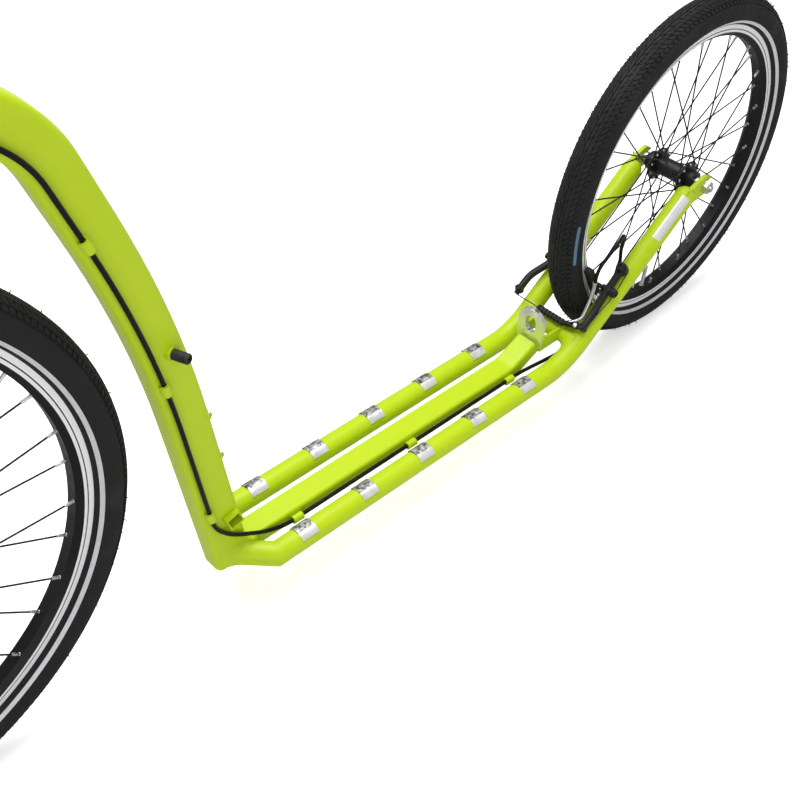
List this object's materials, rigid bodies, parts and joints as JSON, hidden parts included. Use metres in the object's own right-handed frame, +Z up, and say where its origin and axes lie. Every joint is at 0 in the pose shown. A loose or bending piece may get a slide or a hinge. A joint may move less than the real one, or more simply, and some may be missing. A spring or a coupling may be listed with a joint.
{
  "type": "kick bike",
  "caption": "Kick bike with a large front wheel, a smaller rear wheel, an arched down tube and a low deck of two bent side tubes around a flat centre bar.",
  "frame": {"origin": "on top of the deck, midway between the two side tubes, under the rider's feet", "axes": "+X forward along the wheelbase, +Y to the rider's left, +Z up"},
  "size_m": [1.7931, 0.6162, 0.9722],
  "materials": {
    "paint": "gloss",
    "polished": "polished",
    "steel": "satin",
    "black_metal": "satin",
    "tyre_rubber": "matte",
    "rubber": "matte",
    "cable": "gloss"
  },
  "bodies": {
    "frame": {"down_tube": "paint", "head_tube": "paint", "headset_cups": "black_metal", "centre_bar": "paint", "side_tube_left": "paint", "side_tube_right": "paint", "rear_bridge": "paint", "socket_tube": "paint", "side_peg": "rubber", "bottle_bosses": "paint", "cable_guides": "paint", "rear_bracket": "polished", "grip_pads_left": "polished", "grip_pads_right": "polished", "rear_dropouts": "paint", "rear_axle": "steel", "rear_brake_studs": "paint", "rear_brake_arms": "black_metal", "rear_brake_shoes": "rubber", "rear_brake_links": "black_metal", "rear_brake_noodle": "steel", "rear_brake_boot": "rubber", "rear_cable": "cable"},
    "steering": {"fork_crown": "paint", "fork_legs": "paint", "front_dropouts": "paint", "front_axle": "steel", "headset_spacers": "black_metal", "stem": "black_metal", "handlebar": "black_metal", "grips": "rubber", "lever_clamps": "black_metal", "brake_levers": "black_metal", "front_brake_studs": "paint", "front_brake_arms": "black_metal", "front_brake_shoes": "rubber", "front_brake_links": "black_metal", "front_brake_noodle": "steel", "front_brake_boot": "rubber", "rear_cable_loop": "cable"},
    "front_wheel": {"front_tyre": "tyre_rubber", "front_rim": "black_metal", "front_hub": "black_metal", "front_spokes": "black_metal", "front_valve": "steel"},
    "rear_wheel": {"rear_tyre": "tyre_rubber", "rear_rim": "black_metal", "rear_hub": "black_metal", "rear_spokes": "black_metal", "rear_valve": "steel"}
  },
  "joints": [
    {"name": "steering", "type": "hinge", "parent": "frame", "child": "steering", "pos_m": [0.65156, 0, 0.22459], "axis": [-0.309, 0, 0.9511], "range_deg": [-60, 60], "deforming": ["rear_cable_loop"]},
    {"name": "front_wheel_spin", "type": "hinge", "parent": "steering", "child": "front_wheel", "pos_m": [0.69436, 0, 0.2385], "axis": [0, 1, 0], "continuous": true},
    {"name": "rear_wheel_spin", "type": "hinge", "parent": "frame", "child": "rear_wheel", "pos_m": [-0.52491, 0, 0.1635], "axis": [0, 1, 0], "continuous": true}
  ]
}
